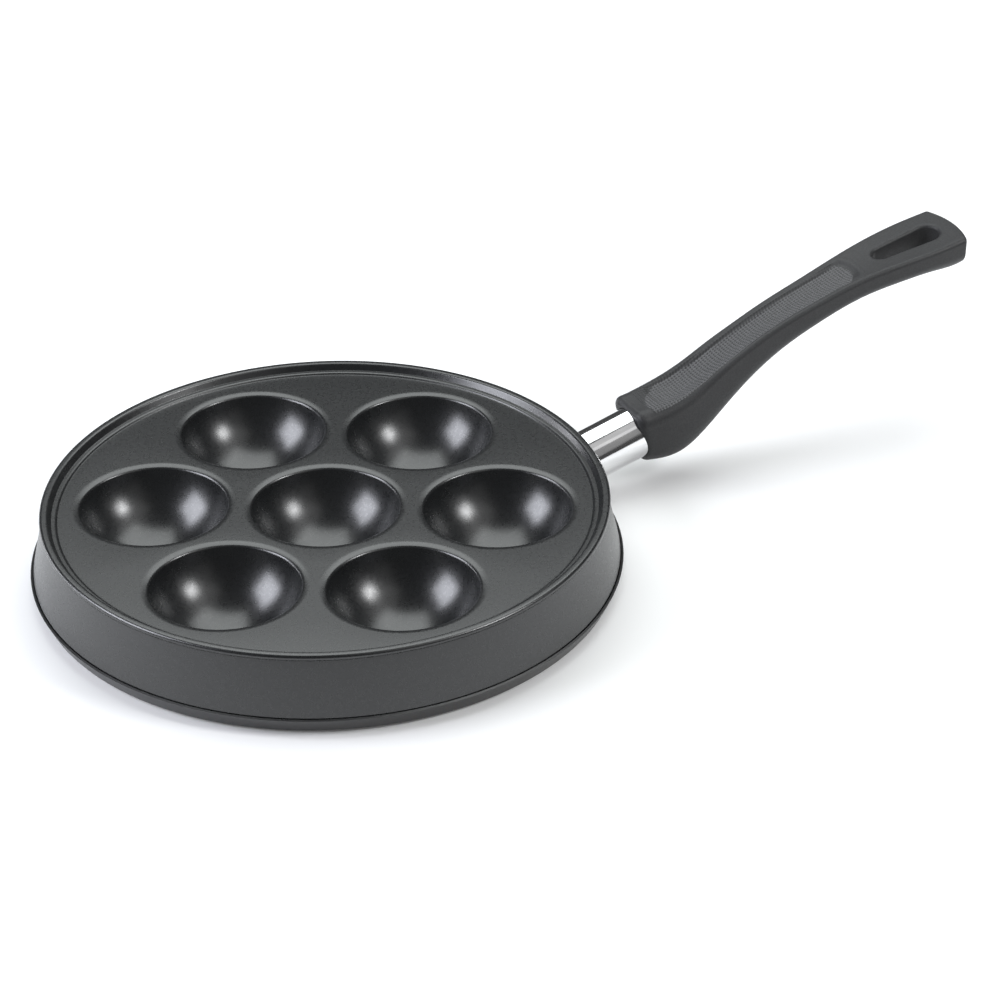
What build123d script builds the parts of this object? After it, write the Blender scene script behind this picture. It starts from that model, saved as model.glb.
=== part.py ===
from build123d import *
import os
from math import atan2, cos, degrees, hypot, pi, radians, sin

# Aebleskiver pan with seven round cups, a skirted body and a moulded handle.
# Lengths in millimetres. The origin is the centre of the base, on the surface
# that the pan stands on; +Z is up and the handle points along +X.

# Pressed sheet of the body
sheet_wall = 0.8
seam_gap = 0.25
overrun = 4.0

# Aluminium core disc between the base and the cups
core_thickness = 2.4
core_seat_gap = 0.3
core_bevel = 0.5

# Cup plate with its ledge and rolled rim
cup_depth = 21.5
plate_height = 2 * sheet_wall + core_thickness + core_seat_gap + cup_depth
rim_radius = 100.0
rim_rise = 3.1
rim_height = plate_height + rim_rise
rim_width = 3 * sheet_wall + 2 * seam_gap
rim_drop = 1.8
rim_round = 0.35
ledge_inset = 4.1
ledge_width = 2.1
ledge_outer = rim_radius - ledge_inset
ledge_inner = ledge_outer - ledge_width
ledge_height = 0.7
ledge_slope = 0.6
ledge_round = 0.3
wall_foot_round = 0.5

# Cups: one in the middle and a ring of six around it, parted by lands of the plate
cup_ring_count = 6
cup_land = 4.25
ring_land = 5.15
cup_lip_round = 2.4
cup_mouth_radius = (ledge_inner - cup_land - ring_land) / 3
cup_pitch = 2 * cup_mouth_radius + cup_land
cup_radius = (cup_mouth_radius**2 + cup_depth**2) / (2 * cup_depth) - cup_lip_round

# Skirt
skirt_turn_drop = 0.2
skirt_bend_round = 0.6

# Base: steel dish crimped round the skirt's foot, over the core disc
skirt_flare = 4.6
base_wall_taper = 2.4
base_bevel = 1.6
core_inset = 2.6
shoulder_radius = rim_radius + skirt_flare
base_edge_radius = shoulder_radius - base_wall_taper
base_face_radius = base_edge_radius - base_bevel
core_radius = base_face_radius - core_inset
shoulder_height = 6.2
base_edge_height = 1.0
base_edge_round = 1.0

# Handle axis: where it leaves the skirt and how far it climbs
handle_drop = 14.65
handle_height = rim_height - handle_drop
handle_rise_angle = 13.7
wall_seat_gap = 0.2

# Bracket, its rivets and its nut, inside the ferrule
pad_radius = 7.2
pad_thickness = 2.0
strap_thickness = 2.0
strap_width = 8.0
nose_reach = 13.0
nut_width = 8.0
nut_height = 4.0
nut_clearance = 0.15
rivet_radius = 1.5
rivet_head_radius = 2.3
rivet_head_height = 1.1
rivet_spread = 4.6
rivet_clearance = 0.1
rivet_seat_gap = 0.45

# Tie screw and lock washer
screw_radius = 2.5
screw_clearance = 0.15
screw_seat_depth = 17.0
screw_tip_past_nut = 1.5
screw_head_radius = 4.4
screw_head_height = 3.2
screw_slot_width = 1.2
screw_slot_depth = 1.5
washer_radius = 4.3
washer_thickness = 1.2
washer_split = 1.0
screw_access_clearance = 0.6

# Ferrule
ferrule_radius = 9.8
ferrule_wall = 0.9
ferrule_length = 28.0
socket_depth = 5.0
socket_clearance = 0.2
screw_seat_reach = ferrule_length + screw_seat_depth

# Grip
grip_length = 138.1
grip_width = 28.0
grip_rise = 39.9
grip_thickness = 27.0
grip_collar = 2.1
grip_edge_round = 5.0
grip_dish = 1.4
grip_front_round = 2.4
grip_end_round = 1.1
grip_end_bow = 5.0

# Sunk thumb panel and hanging slot in the grip's top, from the grip's front
panel_depth = 0.8
panel_margin = 3.2
panel_start = 7.0
panel_slot_land = 8.4
slot_end_land = 6.9
slot_length = 27.8
slot_start = grip_length - slot_end_land - slot_length
panel_end = slot_start - panel_slot_land
slot_narrow = 7.4
slot_wide = 10.4
slot_lip_round = 1.4

# Stations along the grip, as shares of its length, half width, rise, thickness,
# largest edge rounding and deepest dish
grip_station_shares = [
    # along, half width, top edge, thickness, edge rounding, dish
    (0.000, 0.79, 0.000, 0.860, 1.00, 0.20),
    (0.064, 0.83, 0.028, 0.945, 0.92, 0.30),
    (0.128, 0.82, 0.078, 1.000, 0.70, 0.79),
    (0.192, 0.76, 0.171, 0.956, 0.54, 0.71),
    (0.261, 0.71, 0.294, 0.829, 0.38, 0.57),
    (0.340, 0.68, 0.424, 0.674, 0.35, 0.50),
    (0.433, 0.68, 0.556, 0.552, 0.32, 0.50),
    (0.547, 0.71, 0.684, 0.474, 0.32, 0.50),
    (0.669, 0.79, 0.807, 0.433, 0.32, 0.43),
    (0.793, 0.93, 0.893, 0.445, 0.32, 0.36),
    (0.891, 1.00, 0.942, 0.478, 0.32, 0.21),
    (0.965, 0.99, 0.982, 0.539, 0.38, 0.10),
    (1.000, 0.98, 1.000, 0.498, 0.38, 0.07),
]
grip_side_taper_share = 0.97
grip_belly_share = 0.58


def unit(start, end):
    """Direction from one profile point to the next."""
    length = hypot(end[0] - start[0], end[1] - start[1])
    return (end[0] - start[0]) / length, (end[1] - start[1]) / length


def offset_line(line, distance):
    """The same line moved to the right of its direction, with mitred corners."""
    ways = [unit(a, b) for a, b in zip(line, line[1:])]
    moved = []
    for index, (r, z) in enumerate(line):
        before = ways[max(index - 1, 0)]
        after = ways[min(index, len(ways) - 1)]
        stretch = distance / (1 + before[0] * after[0] + before[1] * after[1])
        moved.append((r + stretch * (before[1] + after[1]), z - stretch * (before[0] + after[0])))
    return moved


def sheet_profile(line, bends, wall):
    """Section of a bent sheet whose wall lies to the right of its skin line.

    Each bend is given by its inside radius."""
    back = offset_line(line, wall)
    skin_bends, back_bends = [], []
    for bend, before, corner, after in zip(bends, line, line[1:], line[2:]):
        way_in, way_out = unit(before, corner), unit(corner, after)
        turns_right = way_in[0] * way_out[1] - way_in[1] * way_out[0] < 0
        skin_bends.append(bend + wall if turns_right else bend)
        back_bends.append(bend if turns_right else bend + wall)
    skin = FilletPolyline(*line, radius=skin_bends)
    inner = FilletPolyline(*back, radius=back_bends)
    ends = [Line(line[0], back[0]), Line(line[-1], back[-1])]
    return Plane.XZ * make_face(skin.edges() + inner.edges() + ends)


def plate_line():
    """Skin of the cup plate from its centre to the lower edge of the rolled rim."""
    return [
        (0, plate_height),
        (ledge_inner, plate_height),
        (ledge_inner + ledge_slope, plate_height + ledge_height),
        (ledge_outer, plate_height + ledge_height),
        (rim_radius - rim_width, rim_height),
        (rim_radius, rim_height),
        (rim_radius, rim_height - rim_drop),
    ]


def lip_centre():
    """Height of the ball's centre, then the lip's centre, in a section of a cup."""
    ball_z = plate_height - cup_depth + cup_radius
    return ball_z, cup_mouth_radius, plate_height - cup_lip_round


def cup_shell():
    """One pressed cup with its rounded lip, as a solid of revolution."""
    ball_z, lip_r, lip_z = lip_centre()
    tilt = degrees(atan2(lip_z - ball_z, lip_r))
    ball, lip = (0, ball_z), (lip_r, lip_z)
    outer_radius = cup_radius + sheet_wall
    inner_lip = cup_lip_round - sheet_wall
    outline = [
        CenterArc(ball, cup_radius, -90, 90 + tilt),
        CenterArc(lip, cup_lip_round, 180 + tilt, -90 - tilt),
        Line((lip_r, plate_height), (lip_r, plate_height - sheet_wall)),
        CenterArc(lip, inner_lip, 90, 90 + tilt),
        CenterArc(ball, outer_radius, tilt, -90 - tilt),
        Line((0, ball_z - outer_radius), (0, ball_z - cup_radius)),
    ]
    return revolve(Plane.XZ * make_face(outline), axis=Axis.Z)


def cup_places():
    """The middle cup and the ring; the handle points between two ring cups."""
    places = [Pos(0, 0, 0)]
    step = 360 / cup_ring_count
    for index in range(cup_ring_count):
        angle = radians((index + 0.5) * step)
        places.append(Pos(cup_pitch * cos(angle), cup_pitch * sin(angle), 0))
    return places


def cup_plate():
    """Pressed plate: seven cups, low ledge, upstand and rolled rim."""
    bends = [ledge_round, ledge_round, wall_foot_round, rim_round, rim_round]
    plate = revolve(sheet_profile(plate_line(), bends, sheet_wall), axis=Axis.Z)
    punch = Pos(0, 0, plate_height) * Cylinder(cup_mouth_radius, 2 * overrun)
    cup = cup_shell()
    for place in cup_places():
        plate = plate - place * punch
    for place in cup_places():
        plate = plate + place * cup
    return plate


def cap_line():
    """Skin of the base dish from its crimped edge down to the centre of the base."""
    return [
        (shoulder_radius, shoulder_height),
        (base_edge_radius, base_edge_height),
        (base_face_radius, 0),
        (0, 0),
    ]


def skirt_line():
    """Skin of the skirt: neck inside the rolled rim, flared wall, foot in the base dish."""
    neck = rim_radius - sheet_wall - seam_gap
    lap = sheet_wall + seam_gap
    shoulder, edge = offset_line(cap_line(), lap)[:2]
    return [(neck, rim_height - lap), (neck, rim_height - rim_drop - skirt_turn_drop), shoulder, edge]


def skirt_radius(z):
    """Outer radius of the flared wall at a height."""
    (r0, z0), (r1, z1) = skirt_line()[1:3]
    return r0 + (r1 - r0) * (z0 - z) / (z0 - z1)


def skirt_blank():
    """The skirt before its rivet holes."""
    bends = [skirt_bend_round, skirt_bend_round]
    return revolve(sheet_profile(skirt_line(), bends, sheet_wall), axis=Axis.Z)


def base_cap():
    """Steel dish whose wall laps round the skirt's foot."""
    bends = [base_edge_round, base_edge_round]
    return revolve(sheet_profile(cap_line(), bends, sheet_wall), axis=Axis.Z)


def heat_spreader():
    """Aluminium core disc between the base and the cups' undersides."""
    disc = Pos(0, 0, sheet_wall + core_thickness / 2) * Cylinder(core_radius, core_thickness)
    return chamfer(disc.edges().filter_by(GeomType.CIRCLE), core_bevel)


handle_base = (skirt_radius(handle_height), 0, handle_height)
handle_way = (cos(radians(handle_rise_angle)), 0, sin(radians(handle_rise_angle)))
handle_up = (-sin(radians(handle_rise_angle)), 0, cos(radians(handle_rise_angle)))
handle_plane = Plane(origin=handle_base, x_dir=handle_up, z_dir=handle_way)


def along_handle(shape, start=0):
    """Moves a shape drawn on +Z onto the handle axis, starting that far from the skirt."""
    return handle_plane.location * Pos(0, 0, start) * shape


def rod(radius, start, end):
    """A round bar on the handle axis between two reaches from the skirt."""
    return along_handle(Pos(0, 0, (end - start) / 2) * Cylinder(radius, end - start), start)


def block(height, width, start, end, lift=0):
    """A rectangular bar on the handle axis, lifted off it when asked."""
    return along_handle(Pos(lift, 0, (end - start) / 2) * Box(height, width, end - start), start)


def body_envelope(gap):
    """Space that the skirt and base dish fill, grown outwards by a gap."""
    neck, wall_foot = skirt_line()[1:3]
    crimp_top = offset_line(cap_line(), sheet_wall)[0][1]
    line = [
        (0, rim_height),
        (neck[0] + gap, rim_height),
        (neck[0] + gap, neck[1]),
        (wall_foot[0] + gap, crimp_top + gap),
        (shoulder_radius + gap, crimp_top + gap),
        (shoulder_radius + gap, 0),
        (0, 0),
    ]
    return revolve(Plane.XZ * make_face(Polyline(*line, close=True)), axis=Axis.Z)


def rivet_places():
    """Sideways places of the two bracket rivets."""
    return [-rivet_spread, rivet_spread]


def rivet_holes():
    """Holes for the two rivets, through the bracket's pad and the skirt."""
    hole = rod(rivet_radius + rivet_clearance, -overrun, overrun)
    return [Pos(0, side, 0) * hole for side in rivet_places()]


def skirt():
    """Flared outer wall with the two rivet holes of the handle bracket."""
    wall = skirt_blank()
    for hole in rivet_holes():
        wall = wall - hole
    return wall


def handle_bracket():
    """Pad, two straps and a bored nose that hold the tie screw's nut."""
    strap_lift = nut_width / 2 + nut_clearance + strap_thickness / 2
    bracket = rod(pad_radius, -overrun, pad_thickness)
    for lift in (-strap_lift, strap_lift):
        bracket += block(strap_thickness, strap_width, 0, nose_reach, lift)
    nose_height = 2 * strap_lift + strap_thickness
    bracket += block(nose_height, strap_width, nose_reach - strap_thickness, nose_reach)
    bracket -= rod(screw_radius + screw_clearance, nose_reach - overrun, nose_reach + overrun)
    bracket -= body_envelope(wall_seat_gap)
    for hole in rivet_holes():
        bracket -= hole
    return bracket


def bracket_rivets():
    """Two rivets that clamp the bracket's pad to the skirt."""
    back = -(sheet_wall + rivet_seat_gap)
    head = rivet_head_height
    rivet = rod(rivet_radius, back - head, pad_thickness + head)
    rivet += rod(rivet_head_radius, pad_thickness, pad_thickness + head)
    rivet += rod(rivet_head_radius, back - head, back)
    return Compound([Pos(0, side, 0) * rivet.solid() for side in rivet_places()])


def bracket_nut():
    """Square nut held against turning by the bracket's straps."""
    end = nose_reach - strap_thickness
    nut = block(nut_width, nut_width, end - nut_height, end)
    return nut - rod(screw_radius + screw_clearance, 0, nose_reach)


def ferrule():
    """Polished tube, scribed to the skirt and let into the grip's socket."""
    tube = rod(ferrule_radius, -overrun, ferrule_length)
    tube -= rod(ferrule_radius - ferrule_wall, -2 * overrun, ferrule_length + overrun)
    return tube - body_envelope(wall_seat_gap)


def tie_screw():
    """Screw from the grip's belly, along the ferrule, into the bracket's nut."""
    tip = nose_reach - strap_thickness - nut_height - screw_tip_past_nut
    head_seat = screw_seat_reach + washer_thickness
    head_end = head_seat + screw_head_height
    screw = rod(screw_radius, tip, head_seat) + rod(screw_head_radius, head_seat, head_end)
    slot_start_reach = head_end - screw_slot_depth
    return screw - block(screw_slot_width, 4 * screw_head_radius, slot_start_reach, head_end + overrun)


def lock_washer():
    """Split spring washer under the screw's head."""
    ring = rod(washer_radius, screw_seat_reach, screw_seat_reach + washer_thickness)
    ring -= rod(screw_radius + screw_clearance, 0, screw_seat_reach + overrun)
    cut = block(washer_radius, washer_split, 0, screw_seat_reach + overrun, washer_radius)
    return ring - cut


grip_front_reach = ferrule_length - socket_depth
grip_front_x = handle_base[0] + grip_front_reach * handle_way[0]
grip_front_top = handle_base[2] + grip_front_reach * handle_way[2] + ferrule_radius + grip_collar


def grip_section(along, half_share, top_share, thick_share, edge_share, dish_share):
    """Cross section of the grip: dished top, small top edges, sides and a round belly."""
    half = half_share * grip_width / 2
    top = grip_front_top + top_share * grip_rise
    bottom = top - thick_share * grip_thickness
    belly = bottom + grip_belly_share * (top - bottom)
    low_half = half * grip_side_taper_share
    edge = edge_share * grip_edge_round
    bend = edge * (1 - sin(pi / 4))
    outline = [
        ThreePointArc((edge - half, top), (0, top - dish_share * grip_dish), (half - edge, top)),
        ThreePointArc((half - edge, top), (half - bend, top - bend), (half, top - edge)),
        Line((half, top - edge), (low_half, belly)),
        EllipticalCenterArc((0, belly), low_half, belly - bottom, 0, arc_size=-90),
        EllipticalCenterArc((0, belly), low_half, belly - bottom, -90, arc_size=-90),
        Line((-low_half, belly), (-half, top - edge)),
        ThreePointArc((-half, top - edge), (bend - half, top - bend), (edge - half, top)),
    ]
    x = grip_front_x + along * grip_length
    return Plane(origin=(x, 0, 0), x_dir=(0, 1, 0), z_dir=(1, 0, 0)) * make_face(outline)


def grip_blank():
    """Lofted body of the grip, squared off at the ferrule and bowed at its end."""
    first = grip_station_shares[0]
    lead = (-overrun / grip_length,) + first[1:]
    body = loft([grip_section(*row) for row in [lead] + grip_station_shares])
    front_cut = block(4 * grip_thickness, 2 * grip_width, grip_front_reach - 3 * overrun, grip_front_reach)
    end_x = grip_front_x + grip_length
    bow_x = end_x - grip_end_bow
    past_x = end_x + overrun
    side = grip_width / 2 + overrun
    bow = [
        ThreePointArc((bow_x, -side), (end_x, 0), (bow_x, side)),
        Polyline((bow_x, side), (past_x, side), (past_x, -side), (bow_x, -side)),
    ]
    bow_cut = extrude(make_face(bow), 2 * (grip_front_top + grip_rise))
    return body - front_cut - bow_cut


def grip_slot():
    """Hanging slot, wider towards the free end, cut straight down."""
    start = grip_front_x + slot_start
    narrow, wide = slot_narrow / 2, slot_wide / 2
    rounds = [Pos(start + narrow, 0) * Circle(narrow), Pos(start + slot_length - wide, 0) * Circle(wide)]
    return extrude(make_hull(Sketch(children=rounds).edges()), 2 * (grip_front_top + grip_rise))


def round_slot_lip(body):
    """Cuts the hanging slot and rounds its upper lip."""
    slot = grip_slot()
    slotted = body - slot
    middle_z = grip_front_top + grip_rise - grip_thickness / 2
    rims = new_edges(body, slot, combined=slotted)
    return fillet([rim for rim in rims if rim.center().Z > middle_z], slot_lip_round)


def grip_panel(body):
    """Shallow sunk panel that takes the thumb, following the grip's top edges."""
    left, right = [], []
    for along, half_share, *_ in grip_station_shares:
        reach = along * grip_length
        if panel_start < reach < panel_end:
            side = half_share * grip_width / 2 - panel_margin
            left.append((grip_front_x + reach, side))
            right.append((grip_front_x + reach, -side))
    start_bow = ThreePointArc(right[0], (grip_front_x + panel_start, 0), left[0])
    end_bow = ThreePointArc(left[-1], (grip_front_x + panel_end, 0), right[-1])
    outline = [start_bow, Spline(*left), end_bow, Spline(*right[::-1])]
    footprint = extrude(make_face(outline), 2 * (grip_front_top + grip_rise))
    return (body & footprint) - Pos(0, 0, -panel_depth) * body


def screw_access():
    """Bore for the tie screw and the wider hole that its head goes in by."""
    shank = rod(screw_radius + screw_clearance, 0, screw_seat_reach + overrun)
    head = rod(screw_head_radius + screw_access_clearance, screw_seat_reach, screw_seat_reach + grip_length)
    return shank + head


def reach_of(shape):
    """How far along the handle axis a shape's centre lies from the skirt."""
    return (shape.center() - Vector(*handle_base)).dot(Vector(*handle_way))


def grip():
    """Moulded handle grip: ferrule socket, screw hole, thumb panel and hanging slot."""
    body = grip_blank()
    front_face = body.faces().sort_by(reach_of)[0]
    body = fillet(front_face.edges(), grip_front_round)
    end_face = body.faces().filter_by(GeomType.CYLINDER).sort_by(Axis.X)[-1]
    body = fillet(end_face.edges(), grip_end_round)
    body = round_slot_lip(body - grip_panel(body))
    socket_end = ferrule_length + socket_clearance
    socket = rod(ferrule_radius + socket_clearance, grip_front_reach - overrun, socket_end)
    return body - screw_access() - socket


def write(node, shape):
    """Writes one node's solids."""
    export_step(shape, os.path.join("parts", node + ".step"))


os.makedirs("parts", exist_ok=True)
write("cup_plate", cup_plate())
write("skirt", skirt())
write("base_cap", base_cap())
write("heat_spreader", heat_spreader())
write("handle_bracket", handle_bracket())
write("bracket_rivets", bracket_rivets())
write("bracket_nut", bracket_nut())
write("ferrule", ferrule())
write("tie_screw", tie_screw())
write("lock_washer", lock_washer())
write("grip", grip())
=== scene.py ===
from math import cos, radians, sin, tau

import bmesh
import bpy
import numpy as np
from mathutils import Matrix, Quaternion, Vector
from mathutils.bvhtree import BVHTree


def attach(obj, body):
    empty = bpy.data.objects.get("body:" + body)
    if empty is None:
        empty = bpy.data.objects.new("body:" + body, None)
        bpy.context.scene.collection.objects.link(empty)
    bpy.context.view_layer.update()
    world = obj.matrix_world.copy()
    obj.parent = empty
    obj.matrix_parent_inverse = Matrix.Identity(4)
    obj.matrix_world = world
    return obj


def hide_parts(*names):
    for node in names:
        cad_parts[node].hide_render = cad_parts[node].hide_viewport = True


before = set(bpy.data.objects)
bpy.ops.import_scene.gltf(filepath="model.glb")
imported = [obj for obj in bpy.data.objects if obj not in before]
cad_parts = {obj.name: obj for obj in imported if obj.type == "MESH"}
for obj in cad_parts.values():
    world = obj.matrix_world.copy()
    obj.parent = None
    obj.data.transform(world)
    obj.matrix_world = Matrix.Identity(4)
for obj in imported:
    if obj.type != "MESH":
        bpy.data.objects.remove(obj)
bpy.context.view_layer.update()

# The pan's sizes are in millimetres, and turn into metres where a mesh is made.
# Camera, lamps, floor and the materials' grain are in metres.
MM = 0.001

# Camera at the photograph's viewpoint
camera_place = Vector((-0.4343, -0.9577, 0.6633))
camera_aim = Vector((0.0517, -0.0332, 0.0300))
camera_roll = -0.95
camera_lens = 126.0

# Soft boxes: name, azimuth and elevation seen from the pan, distance, width, height, power
# and colour
soft_boxes = [
    ("key_left", 160, 31, 1.05, 0.66, 0.56, 10.4, (0.90, 0.92, 1.00)),
    ("strip_left", 132, 5, 0.95, 0.50, 0.12, 1.6, (0.94, 0.95, 1.00)),
    ("fill_right", -45, 38, 1.20, 0.34, 0.30, 6.0, (0.98, 0.99, 1.00)),
    ("glow_right", -40, 62, 1.00, 1.20, 0.45, 0.9, (1.00, 1.00, 1.00)),
    ("back_top", 56, 64, 0.75, 0.80, 0.70, 4.9, (0.96, 1.00, 1.00)),
    ("card_front", -82, 36, 1.30, 0.50, 1.00, 0.35, (1.00, 1.00, 1.00)),
]

# Studio: grey of the surround, and the floor paper, which looks ever whiter to the camera
# between two distances from the pan
surround_grey = 0.07
floor_half = 6.0
floor_white = 0.9
floor_lift = 0.08
floor_far_start = 0.35
floor_far_end = 1.3

# Noise: its octaves, and the band of its values that tones and roughnesses spread over
noise_detail = 3.0
tint_low = 0.35
tint_high = 0.65
rough_low = 0.3
rough_high = 0.7

# Non-stick coating: darkest and lightest tone, least and most roughness, grain per metre
coat_tones = ((0.0078, 0.0084, 0.0090), (0.0105, 0.0113, 0.0120))
coat_roughness = (0.26, 0.31)
base_tones = ((0.0080, 0.0082, 0.0085), (0.0120, 0.0122, 0.0125))
base_roughness = (0.32, 0.38)
coat_specular = 0.85
coat_speckle = 1600.0
coat_patches = 700.0
coat_peel = 1300.0
coat_peel_strength = 0.10
coat_peel_height = 0.00002

# Bare metals, with the polished tube's streaks along the handle
polished_tones = ((0.76, 0.76, 0.77), (0.84, 0.84, 0.84))
polished_roughness = (0.08, 0.12)
polished_stretch = (0.05, 1, 1)
zinc_tones = ((0.50, 0.51, 0.52), (0.66, 0.66, 0.66))
zinc_roughness = (0.25, 0.40)
aluminium_tones = ((0.74, 0.74, 0.75), (0.84, 0.84, 0.84))
aluminium_roughness = (0.30, 0.45)
metal_streaks = 400.0
metal_streak_detail = 4.0
metal_patches = 500.0

# Moulded plastic of the grip, and a paler copy of it on the thumb panel's pip crests as a
# painted highlight
plastic_tones = ((0.026, 0.026, 0.027), (0.037, 0.037, 0.038))
pip_highlight_tones = ((0.078, 0.078, 0.080), (0.106, 0.106, 0.109))
plastic_roughness = (0.44, 0.54)
plastic_specular = 0.32
plastic_speckle = 1800.0
plastic_patches = 1200.0
plastic_grain = 4200.0
plastic_grain_strength = 0.4
plastic_grain_height = 0.00003

# Cup plate: flat with low ledge, upstand and rolled rim, as in the solid but for a
# sharper bend at the upstand's foot
sheet_wall = 0.8
plate_height = 25.8
rim_rise = 3.1
rim_height = plate_height + rim_rise
rim_radius = 100.0
rim_width = 2.9
rim_drop = 1.8
rim_round = 0.35
ledge_inset = 4.1
ledge_width = 2.1
ledge_outer = rim_radius - ledge_inset
ledge_inner = ledge_outer - ledge_width
ledge_height = 0.7
ledge_slope = 0.6
ledge_round = 0.3
flat_border = 0.8
wall_foot_round = 0.2
rim_turns = 480

# Cups: balls sunk in the plate where the solid has them. Their lips are softer than the
# solid's, and turn sharply at their inner edge.
cup_ring_count = 6
cup_depth = 21.5
cup_land = 4.25
ring_land = 5.15
solid_lip_round = 2.4
cup_mouth_radius = (ledge_inner - cup_land - ring_land) / 3
cup_pitch = 2 * cup_mouth_radius + cup_land
cup_radius = (cup_mouth_radius**2 + cup_depth**2) / (2 * cup_depth) - solid_lip_round
lip_reach = 0.9
lip_round = 7.0
lip_angle = 18.5
cup_turns = 144
cup_rows = 24
arc_steps = 7

# The plate's underside has fewer turns round each cup, and every third ring
back_cup_turns = 72
back_step = 3

# A ring nearer than this to its axis is a single point
point_radius = 0.001

# Top of the grip and its sunk thumb panel, from the grip's front, as in the solid
grip_length = 138.1
grip_front_top = 31.6
grip_rise = 39.9
grip_width = 28.0
grip_edge_round = 5.0
grip_dish = 1.4
panel_depth = 0.8
panel_margin = 3.2
panel_start = 7.0
panel_end = 95.0
station_shares = [
    # along, half width, top edge, edge rounding, dish
    (0.000, 0.79, 0.000, 1.00, 0.20),
    (0.064, 0.83, 0.028, 0.92, 0.30),
    (0.128, 0.82, 0.078, 0.70, 0.79),
    (0.192, 0.76, 0.171, 0.54, 0.71),
    (0.261, 0.71, 0.294, 0.38, 0.57),
    (0.340, 0.68, 0.424, 0.35, 0.50),
    (0.433, 0.68, 0.556, 0.32, 0.50),
    (0.547, 0.71, 0.684, 0.32, 0.50),
    (0.669, 0.79, 0.807, 0.32, 0.43),
    (0.793, 0.93, 0.893, 0.32, 0.36),
    (0.891, 1.00, 0.942, 0.32, 0.21),
    (0.965, 0.99, 0.982, 0.38, 0.10),
    (1.000, 0.98, 1.000, 0.38, 0.07),
]
along_shares, half_shares, top_shares, edge_shares, dish_shares = np.array(station_shares).T
stations = along_shares * grip_length

# Lining of the panel: a sheet that covers the panel's edges, with bowed ends. Its grid has
# as many columns as this step goes into its typical width.
lining_step = 0.19
lining_width = 19.8
lining_margin = 1.9
lining_first = 4.0
lining_start = 3.2
lining_last = 93.9
lining_end = 96.3
end_bow_power = 4
lining_lift = 0.04
lining_edge_drop = 0.2
lining_sink = 2.5

# Walls of the lining's trough, longer on the near side
trough_wall = 2.2
trough_near_wall = 5.5

# Pips in a square grid, whose crests carry a painted highlight in paler plastic, left off as
# painted shade up the far wall and at the far front corner
pip_pitch = 1.2
pip_height = 0.26
pip_gap_share = 0.22
pip_fade = 0.4
pip_start = 3.4
pip_end = 92.5
pip_end_bow = 7.0
pip_far_margin = 3.0
highlight_far_margin = 4.6
highlight_start_bow = 9.0
highlight_start_skew = 0.45
highlight_crest_share = 0.25


def toward(azimuth, elevation):
    """Unit vector from the pan towards a place in the studio."""
    turn, rise = radians(azimuth), radians(elevation)
    return Vector((cos(turn) * cos(rise), sin(turn) * cos(rise), sin(rise)))


def placed(name, data):
    """New object of the scene that carries these data."""
    thing = bpy.data.objects.new(name, data)
    bpy.context.scene.collection.objects.link(thing)
    return thing


def add_camera():
    """Camera that sees the pan as the photograph does."""
    data = bpy.data.cameras.new("photo_camera")
    data.lens = camera_lens
    camera = placed("photo_camera", data)
    camera.location = camera_place
    camera.rotation_mode = "QUATERNION"
    look = (camera_aim - camera_place).to_track_quat("-Z", "Y")
    camera.rotation_quaternion = look @ Quaternion((0, 0, 1), radians(camera_roll))
    bpy.context.scene.camera = camera


def add_soft_box(name, azimuth, elevation, distance, width, height, power, colour):
    """Area lamp that faces the pan."""
    data = bpy.data.lights.new(name, "AREA")
    data.shape = "RECTANGLE"
    data.size, data.size_y = width, height
    data.energy = power
    data.color = colour
    lamp = placed(name, data)
    lamp.location = toward(azimuth, elevation) * distance
    lamp.rotation_mode = "QUATERNION"
    lamp.rotation_quaternion = (-lamp.location).to_track_quat("-Z", "Y")


# Materials


class Surface:
    """Procedural material: a principled shader fed by noise in the object's own space."""

    def __init__(self, name, **settings):
        self.material = bpy.data.materials.new(name)
        self.material.use_nodes = True
        self.tree = self.material.node_tree
        self.shader = self.tree.nodes["Principled BSDF"]
        self.place = self.tree.nodes.new("ShaderNodeTexCoord").outputs["Object"]
        for socket, value in settings.items():
            self.shader.inputs[socket.replace("_", " ")].default_value = value

    def noise(self, scale, detail=noise_detail, stretch=(1, 1, 1)):
        mapping = self.tree.nodes.new("ShaderNodeMapping")
        mapping.inputs["Scale"].default_value = stretch
        self.tree.links.new(self.place, mapping.inputs["Vector"])
        noise = self.tree.nodes.new("ShaderNodeTexNoise")
        noise.inputs["Scale"].default_value = scale
        noise.inputs["Detail"].default_value = detail
        self.tree.links.new(mapping.outputs["Vector"], noise.inputs["Vector"])
        return noise.outputs["Fac"]

    def tint(self, noise, dark, light):
        ramp = self.tree.nodes.new("ShaderNodeValToRGB")
        ramp.color_ramp.elements[0].position = tint_low
        ramp.color_ramp.elements[0].color = (*dark, 1)
        ramp.color_ramp.elements[1].position = tint_high
        ramp.color_ramp.elements[1].color = (*light, 1)
        self.tree.links.new(noise, ramp.inputs["Fac"])
        self.tree.links.new(ramp.outputs["Color"], self.shader.inputs["Base Color"])

    def roughen(self, noise, least, most):
        spread = self.tree.nodes.new("ShaderNodeMapRange")
        spread.inputs["From Min"].default_value = rough_low
        spread.inputs["From Max"].default_value = rough_high
        spread.inputs["To Min"].default_value = least
        spread.inputs["To Max"].default_value = most
        self.tree.links.new(noise, spread.inputs["Value"])
        self.tree.links.new(spread.outputs["Result"], self.shader.inputs["Roughness"])

    def grain(self, noise, strength, height):
        bump = self.tree.nodes.new("ShaderNodeBump")
        bump.inputs["Strength"].default_value = strength
        bump.inputs["Distance"].default_value = height
        self.tree.links.new(noise, bump.inputs["Height"])
        self.tree.links.new(bump.outputs["Normal"], self.shader.inputs["Normal"])


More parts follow.
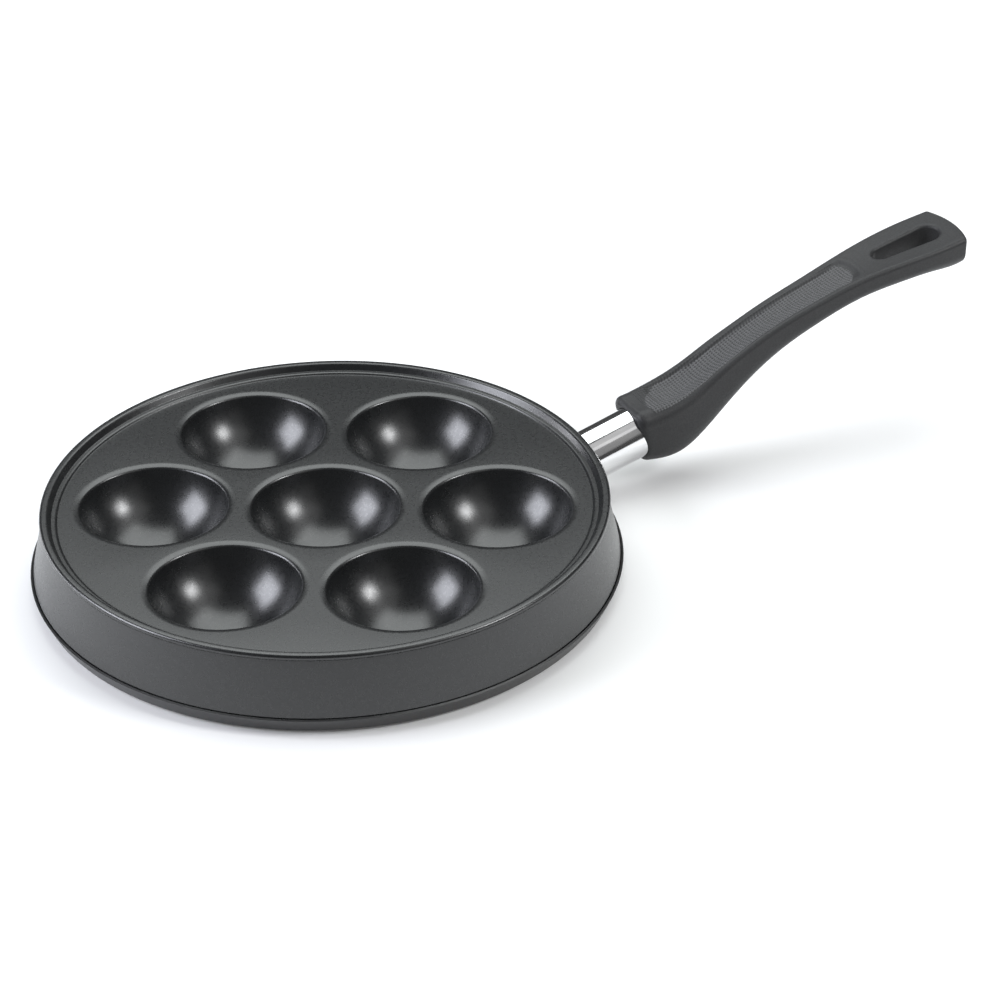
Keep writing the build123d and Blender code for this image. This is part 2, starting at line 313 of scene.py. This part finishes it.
def coating(name, tones, roughness):
    """Satin non-stick coating with a faint speckle and a slight orange peel."""
    surface = Surface(name, Specular_IOR_Level=coat_specular)
    surface.tint(surface.noise(coat_speckle), *tones)
    surface.roughen(surface.noise(coat_patches), *roughness)
    surface.grain(surface.noise(coat_peel), coat_peel_strength, coat_peel_height)
    return surface.material


def metal(name, tones, roughness, stretch=(1, 1, 1)):
    """Bare metal with a plain grain, or with streaks where the grain is stretched."""
    surface = Surface(name, Metallic=1.0)
    surface.tint(surface.noise(metal_streaks, metal_streak_detail, stretch), *tones)
    surface.roughen(surface.noise(metal_patches, noise_detail, stretch), *roughness)
    return surface.material


def moulded_plastic(name, tones):
    """Matt black plastic with a fine moulded grain."""
    surface = Surface(name, Specular_IOR_Level=plastic_specular)
    surface.tint(surface.noise(plastic_speckle), *tones)
    surface.roughen(surface.noise(plastic_patches), *plastic_roughness)
    surface.grain(surface.noise(plastic_grain), plastic_grain_strength, plastic_grain_height)
    return surface.material


def worked_out(tree, operation, first, second, addend=0.0):
    """Output of a math node on two other outputs."""
    node = tree.nodes.new("ShaderNodeMath")
    node.operation = operation
    node.inputs[2].default_value = addend
    tree.links.new(first, node.inputs[0])
    tree.links.new(second, node.inputs[1])
    return node.outputs["Value"]


def floor_paper(name):
    """Diffuse white that camera and gloss see a little lighter than it is lit.

    The camera alone sees it lighter still far from the pan, up to white."""
    material = bpy.data.materials.new(name)
    material.use_nodes = True
    tree = material.node_tree
    tree.nodes.remove(tree.nodes["Principled BSDF"])
    link = tree.links.new
    paper = tree.nodes.new("ShaderNodeBsdfDiffuse")
    paper.inputs["Color"].default_value = (floor_white, floor_white, floor_white, 1)
    path = tree.nodes.new("ShaderNodeLightPath")
    camera_ray, glossy_ray = path.outputs["Is Camera Ray"], path.outputs["Is Glossy Ray"]
    place = tree.nodes.new("ShaderNodeTexCoord")
    away = tree.nodes.new("ShaderNodeVectorMath")
    away.operation = "LENGTH"
    link(place.outputs["Object"], away.inputs[0])
    far = tree.nodes.new("ShaderNodeMapRange")
    far.inputs["From Min"].default_value = floor_far_start
    far.inputs["From Max"].default_value = floor_far_end
    link(away.outputs["Value"], far.inputs["Value"])
    lift = worked_out(tree, "MULTIPLY_ADD", far.outputs["Result"], camera_ray, floor_lift)
    seen = worked_out(tree, "MAXIMUM", camera_ray, glossy_ray)
    glow = tree.nodes.new("ShaderNodeEmission")
    link(worked_out(tree, "MULTIPLY", lift, seen), glow.inputs["Strength"])
    total = tree.nodes.new("ShaderNodeAddShader")
    link(paper.outputs["BSDF"], total.inputs[0])
    link(glow.outputs["Emission"], total.inputs[1])
    link(total.outputs["Shader"], tree.nodes["Material Output"].inputs["Surface"])
    return material


def add_surround():
    """Dim grey studio around the lamps, white where the camera looks straight at it."""
    world = bpy.data.worlds.new("studio")
    bpy.context.scene.world = world
    world.use_nodes = True
    tree = world.node_tree
    path = tree.nodes.new("ShaderNodeLightPath")
    shade = tree.nodes.new("ShaderNodeMapRange")
    shade.inputs["To Min"].default_value = surround_grey
    shade.inputs["To Max"].default_value = 1.0
    tree.links.new(path.outputs["Is Camera Ray"], shade.inputs["Value"])
    tree.links.new(shade.outputs["Result"], tree.nodes["Background"].inputs["Color"])


def add_floor():
    """Square of floor paper that the pan stands on."""
    left, right = -floor_half, floor_half
    corners = [(left, left, 0), (right, left, 0), (right, right, 0), (left, right, 0)]
    mesh = bpy.data.meshes.new("studio_floor")
    mesh.from_pydata(corners, [], [(0, 1, 2, 3)])
    mesh.materials.append(floor_paper("floor_white"))
    return placed("studio_floor", mesh)


def give(name, material):
    """Gives one of the pan's nodes its material."""
    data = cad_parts[name].data
    data.materials.clear()
    data.materials.append(material)


# Cup plate


def rounded(line, radii):
    """Points and left-hand normals along a line whose corners are rounded."""
    steps = [np.subtract(end, start) for start, end in zip(line, line[1:])]
    ways = [step / np.hypot(*step) for step in steps]
    points, headings = [np.array(line[0])], [ways[0]]
    for corner, radius, way_in, way_out in zip(line[1:], radii, ways, ways[1:]):
        turn = np.arctan2(way_in[0] * way_out[1] - way_in[1] * way_out[0], way_in @ way_out)
        side = np.sign(turn) * np.array([-way_in[1], way_in[0]])
        middle = np.array(corner) - radius * abs(np.tan(turn / 2)) * way_in + radius * side
        for angle in np.linspace(0.0, turn, arc_steps + 1):
            spin = np.array([[np.cos(angle), -np.sin(angle)], [np.sin(angle), np.cos(angle)]])
            points.append(middle - radius * (spin @ side))
            headings.append(spin @ way_in)
    points.append(np.array(line[-1]))
    headings.append(ways[-1])
    return np.array(points), np.array([(-way[1], way[0]) for way in headings])


def rim_section():
    """Skin of the plate from its flat to the lower edge of the rolled rim."""
    line = [
        (ledge_inner - flat_border, plate_height),
        (ledge_inner, plate_height),
        (ledge_inner + ledge_slope, plate_height + ledge_height),
        (ledge_outer, plate_height + ledge_height),
        (rim_radius - rim_width, rim_height),
        (rim_radius, rim_height),
        (rim_radius, rim_height - rim_drop),
    ]
    outer_round = rim_round + sheet_wall
    radii = [ledge_round, ledge_round + sheet_wall, wall_foot_round, outer_round, outer_round]
    return rounded(line, radii)


def leaning(angle):
    """Unit vector upwards, tilted by this angle towards the axis."""
    return np.array([-sin(angle), cos(angle)])


def cup_section():
    """Skin of a cup from the plate's flat over its lip to the ball's lowest point."""
    ball = np.array([0.0, plate_height - cup_depth + cup_radius])
    soft_end = radians(lip_angle)
    soft_centre = np.array([cup_mouth_radius + lip_reach, plate_height - lip_round])
    slant = leaning(soft_end)
    bend = soft_centre + lip_round * slant
    # The lip's tight turn starts at the bend and ends where the ball begins
    away = bend - ball
    tight = (away @ away - cup_radius**2) / (2 * cup_radius + 2 * away @ slant)
    tight_centre = bend - tight * slant
    down = tight_centre - ball
    steepest = np.arctan2(down[0], -down[1])
    arcs = [
        (soft_centre, lip_round, np.linspace(0.0, soft_end, arc_steps + 1)),
        (tight_centre, tight, np.linspace(soft_end, steepest, arc_steps + 1)[1:]),
        (ball, -cup_radius, np.linspace(steepest, 0.0, cup_rows + 1)[1:]),
    ]
    points = [
        centre + radius * leaning(angle) for centre, radius, angles in arcs for angle in angles
    ]
    normals = [leaning(angle) for _, _, angles in arcs for angle in angles]
    return np.array(points), np.array(normals)


def thinned(section):
    """Every few points of a section, with both its ends."""
    kept = list(range(0, len(section) - 1, back_step)) + [len(section) - 1]
    return section[kept]


def turned(mesh, section, middle, turns):
    """Rings of vertices of a turned section, joined by faces, as lists per ring."""
    rings = []
    for radius, height in section:
        if radius < point_radius:
            point = mesh.verts.new((middle[0] * MM, middle[1] * MM, height * MM))
            rings.append([point] * turns)
            continue
        ring = []
        for turn in range(turns):
            angle = tau * turn / turns
            x, y = middle[0] + radius * cos(angle), middle[1] + radius * sin(angle)
            ring.append(mesh.verts.new((x * MM, y * MM, height * MM)))
        rings.append(ring)
    for inner, outer in zip(rings, rings[1:]):
        for turn in range(turns):
            ahead = (turn + 1) % turns
            corners = [inner[turn], outer[turn], outer[ahead], inner[ahead]]
            mesh.faces.new(list(dict.fromkeys(corners)))
    return rings


def ring_edges(mesh, ring):
    """Edges that close a ring of vertices."""
    return [mesh.edges.get(pair) for pair in zip(ring, ring[1:] + ring[:1])]


def cup_places():
    """The middle cup and the ring; the handle points between two ring cups."""
    places = [(0.0, 0.0)]
    for index in range(cup_ring_count):
        angle = tau * (index + 0.5) / cup_ring_count
        places.append((cup_pitch * cos(angle), cup_pitch * sin(angle)))
    return places


def plate_face(mesh, rim_line, cup_line, turns):
    """One side of the sheet: turned rim, seven cups and the flat between them."""
    rim_rings = turned(mesh, rim_line, (0.0, 0.0), rim_turns)
    edges = ring_edges(mesh, rim_rings[0])
    for place in cup_places():
        cup_rings = turned(mesh, cup_line, place, turns)
        edges += ring_edges(mesh, cup_rings[0])
    bmesh.ops.triangle_fill(mesh, edges=edges, use_beauty=True, use_dissolve=False)
    return rim_rings[-1]


def cup_plate(material):
    """Pressed plate with seven cups, as one closed sheet."""
    mesh = bmesh.new()
    rim_line, rim_normals = rim_section()
    cup_line, cup_normals = cup_section()
    rim_back = thinned(rim_line - sheet_wall * rim_normals)
    cup_back = thinned(cup_line - sheet_wall * cup_normals)
    skin_end = plate_face(mesh, rim_line, cup_line, cup_turns)
    back_end = plate_face(mesh, rim_back, cup_back, back_cup_turns)
    for turn in range(rim_turns):
        ahead = (turn + 1) % rim_turns
        mesh.faces.new([skin_end[turn], back_end[turn], back_end[ahead], skin_end[ahead]])
    bmesh.ops.recalc_face_normals(mesh, faces=mesh.faces[:])
    for face in mesh.faces:
        face.smooth = True
    data = bpy.data.meshes.new("cup_plate_pressed")
    mesh.to_mesh(data)
    mesh.free()
    data.materials.append(material)
    return placed("cup_plate_pressed", data)


# Thumb panel's lining


def cubic_through(knots, values, where):
    """Natural cubic spline through the knots, read at other places."""
    gaps = np.diff(knots)
    slopes = np.diff(values) / gaps
    count = len(knots)
    system, right = np.eye(count), np.zeros(count)
    for i in range(1, count - 1):
        system[i, i - 1 : i + 2] = gaps[i - 1], 2 * (gaps[i - 1] + gaps[i]), gaps[i]
        right[i] = 6 * (slopes[i] - slopes[i - 1])
    bends = np.linalg.solve(system, right)
    cell = np.clip(np.searchsorted(knots, where) - 1, 0, count - 2)
    gap, before, after = gaps[cell], where - knots[cell], knots[cell + 1] - where
    cubic = (bends[cell] * after**3 + bends[cell + 1] * before**3) / (6 * gap)
    line = (values[cell] / gap - bends[cell] * gap / 6) * after
    return cubic + line + (values[cell + 1] / gap - bends[cell + 1] * gap / 6) * before


def smooth(value):
    """Soft step from 0 to 1 while the value goes from 0 to 1."""
    value = np.clip(value, 0.0, 1.0)
    return value * value * (3 - 2 * value)


def bow_rise(across, side, rise):
    """Height of a bow of this half width and rise at a distance across it."""
    radius = (side * side + rise * rise) / (2 * rise)
    return np.sqrt(np.maximum(radius * radius - across * across, 0.0)) - (radius - rise)


def half_width(reach):
    """Half width of the grip at distances from its front."""
    return cubic_through(stations, half_shares, reach) * grip_width / 2


def lining_places():
    """Grid of places on the grip's top: reach from its front, y, and y as a share."""
    rows = round((lining_last - lining_first) / lining_step)
    columns = round(lining_width / lining_step)
    share = np.linspace(0.0, 1.0, rows + 1)[:, None]
    sweep = np.linspace(-1.0, 1.0, columns + 1)[None, :]
    middle = lining_first + share * (lining_last - lining_first)
    y = sweep * (half_width(middle) - lining_margin)
    start_bow = bow_rise(y, np.abs(y[0]).max(), lining_first - lining_start)
    end_bow = bow_rise(y, np.abs(y[-1]).max(), lining_end - lining_last)
    reach = middle - (1 - share) ** end_bow_power * start_bow + share**end_bow_power * end_bow
    return reach, y, sweep


def grip_level(reach, y, half):
    """Height of the grip's top as if its panel weren't sunk: dished, with rounded edges."""
    top = grip_front_top + cubic_through(stations, top_shares, reach) * grip_rise
    edge_round = cubic_through(stations, edge_shares, reach) * grip_edge_round
    dish = cubic_through(stations, dish_shares, reach) * grip_dish
    flat = half - edge_round
    into_round = np.clip(np.abs(y) - flat, 0.0, edge_round)
    dished = top - dish * np.maximum(1 - (y / flat) ** 2, 0.0)
    return dished - edge_round + np.sqrt(edge_round**2 - into_round**2)


def trough(reach, y, half):
    """How far inside the solid's panel each place lies, and the trough's depth there."""
    inner = np.flatnonzero((stations > panel_start) & (stations < panel_end))
    first, last = stations[inner[0]], stations[inner[-1]]
    first_side = half_shares[inner[0]] * grip_width / 2 - panel_margin
    last_side = half_shares[inner[-1]] * grip_width / 2 - panel_margin
    ahead = reach - first + bow_rise(y, first_side, first - panel_start)
    behind = last - reach + bow_rise(y, last_side, panel_end - last)
    far_side = half - panel_margin - y
    near_side = half - panel_margin + y
    inside = np.minimum.reduce([far_side, near_side, ahead, behind])
    walls = [side / trough_wall for side in (far_side, ahead, behind)]
    slope = np.minimum.reduce([*walls, near_side / trough_near_wall])
    return inside, panel_depth * smooth(slope)


def pip_shares(reach, y, sweep, half):
    """Height of the pips as a share, for all of them and for those whose crests carry the
    painted highlight.
    """
    crest = 0.5 * (np.cos(tau * reach / pip_pitch) + np.cos(tau * y / pip_pitch))
    near_edge = (1 + sweep) * half
    far_edge = half - pip_far_margin - y
    end_edge = pip_end - pip_end_bow * (y / half) ** 2 - reach
    edge = np.minimum.reduce([near_edge, far_edge, end_edge, reach - pip_start])
    rise = 0.5 * (crest + 1) / (1 - pip_gap_share) - pip_gap_share
    pips = smooth(rise) * smooth(edge / pip_fade)
    start_curve = highlight_start_bow * (y / half + highlight_start_skew) ** 2
    highlight_edge = np.minimum(reach - pip_start - start_curve, half - highlight_far_margin - y)
    return pips, pips * smooth(highlight_edge / pip_fade)


def sheet_faces(deep, wide):
    """Faces of a closed sheet over a grid of points, whose underside has only two rows.

    The points are the grid's, row by row, then the underside's pairs."""
    faces = []
    for row in range(deep - 1):
        for column in range(wide - 1):
            corner = row * wide + column
            faces.append([corner, corner + wide, corner + wide + 1, corner + 1])
    under = wide * deep
    for row in range(deep - 1):
        right, left = under + 2 * row, under + 2 * row + 1
        faces.append([right, left, left + 2, right + 2])
        faces.append([row * wide, right, right + 2, (row + 1) * wide])
        faces.append([(row + 1) * wide - 1, (row + 2) * wide - 1, left + 2, left])
    last_row = list(range((deep - 1) * wide, deep * wide))
    under_last = under + 2 * (deep - 1)
    faces.append(list(range(wide)) + [under + 1, under])
    faces.append(last_row[::-1] + [under_last, under_last + 1])
    return faces


def lining_points(reach, y, half, trough_depth, inside, pips):
    """Points of the lining's face and of its underside, set against the grip's own skin."""
    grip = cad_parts["grip"]
    corners = [grip.matrix_world @ vertex.co for vertex in grip.data.vertices]
    skin = BVHTree.FromPolygons(corners, [polygon.vertices[:] for polygon in grip.data.polygons])
    front = max(corner.x for corner in corners) / MM - grip_length
    sky = max(corner.z for corner in corners) + panel_depth * MM
    level = grip_level(reach, y, half)
    deep, wide = reach.shape
    face, underside = [], []
    for row, column in np.ndindex(deep, wide):
        x, across = (front + reach[row, column]) * MM, y[row, column] * MM
        hit = skin.ray_cast(Vector((x, across, sky)), Vector((0, 0, -1)))[0].z / MM
        sunk = inside[row, column] > -lining_step and level[row, column] - hit > panel_depth / 2
        crown = hit + panel_depth if sunk else hit
        height = crown - trough_depth[row, column] + pip_height * pips[row, column] + lining_lift
        if row in (0, deep - 1) or column in (0, wide - 1):
            height -= lining_edge_drop
        face.append((x, across, height * MM))
        if column in (0, wide - 1):
            underside.append((x, across, (crown - lining_sink) * MM))
    return face + underside


def panel_lining(plain, crest_highlight):
    """Closed sheet over the sunk panel, with its pips and rising edges."""
    reach, y, sweep = lining_places()
    half = half_width(reach)
    inside, trough_depth = trough(reach, y, half)
    pips, highlit_pips = pip_shares(reach, y, sweep, half)
    points = lining_points(reach, y, half, trough_depth, inside, pips)
    faces = sheet_faces(*reach.shape)
    # Faces on the crests of the highlighted pips take the paler plastic, a painted highlight;
    # the gaps and the far wall keep the plain plastic as painted shade
    near_cells, far_cells = highlit_pips[:, :-1], highlit_pips[:, 1:]
    cells = (near_cells[:-1] + near_cells[1:] + far_cells[:-1] + far_cells[1:]) / 4
    slots = (cells > highlight_crest_share).astype(int).ravel().tolist()
    mesh = bpy.data.meshes.new("panel_lining")
    mesh.from_pydata(points, [], faces)
    mesh.polygons.foreach_set("use_smooth", [True] * len(faces))
    mesh.materials.append(plain)
    mesh.materials.append(crest_highlight)
    mesh.polygons.foreach_set("material_index", slots + [0] * (len(faces) - len(slots)))
    mesh.update()
    return placed("panel_lining", mesh)


# The pan

coat = coating("nonstick_coating", coat_tones, coat_roughness)
base_coat = coating("base_coating", base_tones, base_roughness)
polished = metal("polished_steel", polished_tones, polished_roughness, polished_stretch)
zinc = metal("fixing_steel", zinc_tones, zinc_roughness)
aluminium = metal("core_aluminium", aluminium_tones, aluminium_roughness)
plastic = moulded_plastic("grip_plastic", plastic_tones)
# Paler copy of the grip plastic: painted highlight on the pip crests
pip_highlight_plastic = moulded_plastic("grip_plastic_pip_highlight", pip_highlight_tones)

give("skirt", coat)
give("base_cap", base_coat)
give("ferrule", polished)
give("grip", plastic)
give("heat_spreader", aluminium)
for name in ("handle_bracket", "bracket_rivets", "bracket_nut", "tie_screw", "lock_washer"):
    give(name, zinc)

plate = cup_plate(coat)
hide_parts("cup_plate")
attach(plate, "root")
lining = panel_lining(plastic, pip_highlight_plastic)
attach(lining, "root")

# Studio

add_camera()
for row in soft_boxes:
    add_soft_box(*row)
floor = add_floor()
add_surround()
bpy.context.scene.view_settings.view_transform = "Standard"
